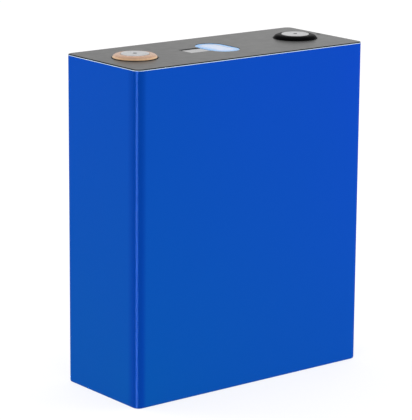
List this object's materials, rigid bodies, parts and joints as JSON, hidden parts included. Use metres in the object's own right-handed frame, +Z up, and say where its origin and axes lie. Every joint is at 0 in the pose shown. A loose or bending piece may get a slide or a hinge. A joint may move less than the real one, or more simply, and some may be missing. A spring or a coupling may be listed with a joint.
{
  "type": "prismatic battery cell",
  "caption": "Rectangular lithium battery cell in blue film, with round weld-pad terminals and a burst vent on its grey top.",
  "frame": {"origin": "centre of the base, on the surface that the cell stands on", "axes": "+Z up, +X along the width towards the negative terminal, +Y through the thickness"},
  "size_m": [0.1742, 0.072, 0.2067],
  "materials": {
    "blue_film": "satin",
    "base_patch": "satin",
    "grey_sheet": "matte",
    "vent_film": "gloss",
    "can_aluminium": "satin",
    "lid_aluminium": "satin",
    "vent_foil": "satin",
    "pad_aluminium": "satin",
    "pole_aluminium": "satin",
    "copper": "satin",
    "copper_ring": "satin",
    "black_ring": "gloss",
    "black_plastic": "satin",
    "seal_rubber": "matte",
    "aluminium_foil": "satin",
    "copper_foil": "satin",
    "cathode_coating": "matte",
    "anode_coating": "matte",
    "separator_film": "satin",
    "tape": "satin",
    "clear_film": "gloss",
    "plate_plastic": "satin"
  },
  "bodies": {
    "root": {"insulation_wrap": "blue_film", "base_patch": "base_patch", "top_sheet": "grey_sheet", "vent_film": "vent_film", "can": "can_aluminium", "lid_plate": "lid_aluminium", "fill_cap": "lid_aluminium", "vent_disc": "vent_foil", "positive_pad": "pad_aluminium", "negative_pad": "pad_aluminium", "positive_pole": "pole_aluminium", "positive_collector": "pole_aluminium", "negative_pole": "copper", "negative_collector": "copper", "positive_ring": "copper_ring", "negative_ring": "black_ring", "positive_base_washer": "black_plastic", "negative_base_washer": "black_plastic", "lid_insulator": "black_plastic", "positive_seal": "seal_rubber", "negative_seal": "seal_rubber", "fill_plug": "seal_rubber", "front_positive_tabs": "aluminium_foil", "rear_positive_tabs": "aluminium_foil", "front_negative_tabs": "copper_foil", "rear_negative_tabs": "copper_foil", "front_cathode": "cathode_coating", "rear_cathode": "cathode_coating", "front_anode": "anode_coating", "rear_anode": "anode_coating", "front_separator": "separator_film", "rear_separator": "separator_film", "core_tapes": "tape", "tab_tapes": "tape", "core_bag": "clear_film", "bottom_plate": "plate_plastic"}
  },
  "joints": []
}
